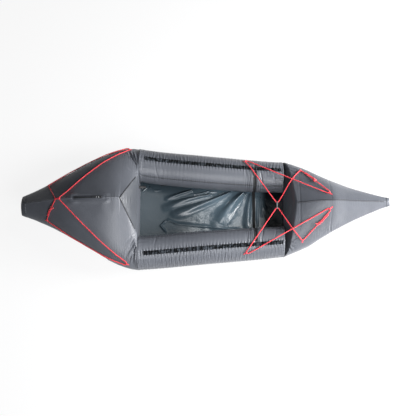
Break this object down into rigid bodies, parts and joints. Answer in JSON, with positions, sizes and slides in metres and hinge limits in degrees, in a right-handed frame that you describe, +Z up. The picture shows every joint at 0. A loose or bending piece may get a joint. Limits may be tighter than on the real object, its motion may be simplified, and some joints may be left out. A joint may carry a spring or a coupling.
{
  "type": "packraft",
  "caption": "One-person inflatable packraft: pointed stern and bow sections, two side tubes, floor sheet, elastic deck cords, stern zip and inflation valves.",
  "frame": {"origin": "under the middle of the hull, on the ground that the side tubes rest on", "axes": "+X to the bow, +Y to port, +Z up"},
  "size_m": [2.8318, 0.976, 0.5147],
  "materials": {
    "clip_plastic": "satin grey",
    "flap_rubber": "matte",
    "floor_fabric": "glossy black",
    "hook_and_loop": "matte",
    "hull_fabric": "dark grey satin",
    "panel_fabric": "dark grey satin",
    "red_webbing": "matte red",
    "seam_tape": "satin",
    "shock_cord": "woven red cover",
    "slider_metal": "satin",
    "strap_webbing": "matte",
    "valve_plastic": "satin",
    "zip_rubber": "matte",
    "zip_teeth": "satin"
  },
  "bodies": {
    "hull": {"back_panel": "panel_fabric", "bow_hull": "hull_fabric", "bow_rear_panel": "hull_fabric", "bow_ridge_tape": "seam_tape", "bow_tip_weld": "seam_tape", "cord_clip": "clip_plastic", "cross_strap": "strap_webbing", "floor_sheet": "floor_fabric", "mouth_flange": "valve_plastic", "mouth_tube": "flap_rubber", "port_bow_aft_tab": "red_webbing", "port_bow_cord_knot": "shock_cord", "port_bow_ridge_tab": "red_webbing", "port_bow_shock_cord": "shock_cord", "port_bow_side_tab": "red_webbing", "port_hook_loop_strip": "hook_and_loop", "port_seat_tab": "strap_webbing", "port_side_tube": "hull_fabric", "port_stern_joint_tape": "seam_tape", "port_stern_tip_tab": "red_webbing", "port_stern_wide_tab": "red_webbing", "port_strap_patch": "seam_tape", "port_tube_seam": "seam_tape", "ridge_link_band": "red_webbing", "starboard_bow_aft_tab": "red_webbing", "starboard_bow_cord_knot": "shock_cord", "starboard_bow_ridge_tab": "red_webbing", "starboard_bow_shock_cord": "shock_cord", "starboard_bow_side_tab": "red_webbing", "starboard_hook_loop_strip": "hook_and_loop", "starboard_seat_tab": "strap_webbing", "starboard_side_tube": "hull_fabric", "starboard_stern_joint_tape": "seam_tape", "starboard_stern_tip_tab": "red_webbing", "starboard_stern_wide_tab": "red_webbing", "starboard_strap_patch": "seam_tape", "starboard_tube_seam": "seam_tape", "stern_cord_knot": "shock_cord", "stern_hull": "hull_fabric", "stern_ridge_tape": "seam_tape", "stern_shock_cord": "shock_cord", "stern_tip_weld": "seam_tape", "valve_base": "valve_plastic", "y_seam_tape": "seam_tape", "zip_dock": "zip_teeth", "zip_end_stop": "zip_teeth", "zip_port_teeth": "zip_teeth", "zip_starboard_teeth": "zip_teeth", "zip_tape": "zip_rubber"},
    "slider": {"zip_slider": "slider_metal"},
    "puller": {"zip_puller": "slider_metal"},
    "plug": {"valve_plug": "valve_plastic"},
    "flap": {"valve_flap": "flap_rubber"},
    "cap": {"valve_cap": "valve_plastic"},
    "nozzle": {"mouth_nozzle": "valve_plastic"}
  },
  "joints": [
    {"name": "zip_slide", "type": "slide", "parent": "hull", "child": "slider", "axis": [-0.9918, 0, -0.128], "range_m": [0, 0.1566]},
    {"name": "zip_puller_hinge", "type": "hinge", "parent": "slider", "child": "puller", "pos_m": [-0.80941, 0, 0.5112], "axis": [0, 1, 0], "range_deg": [0, 170]},
    {"name": "valve_plug_turn", "type": "hinge", "parent": "hull", "child": "plug", "pos_m": [-0.19991, -0.21119, 0.06559], "axis": [0, 0.866, -0.5], "range_deg": [0, 540]},
    {"name": "valve_flap_slide", "type": "slide", "parent": "plug", "child": "flap", "axis": [0, -0.866, 0.5], "range_m": [0, 0.003]},
    {"name": "valve_cap_turn", "type": "hinge", "parent": "plug", "child": "cap", "pos_m": [-0.19991, -0.21119, 0.06559], "axis": [0, 0.866, -0.5], "range_deg": [0, 270]},
    {"name": "mouth_nozzle_turn", "type": "hinge", "parent": "hull", "child": "nozzle", "pos_m": [-0.515, 0.165, 0.2], "axis": [1, 0, 0], "range_deg": [0, 180]}
  ]
}
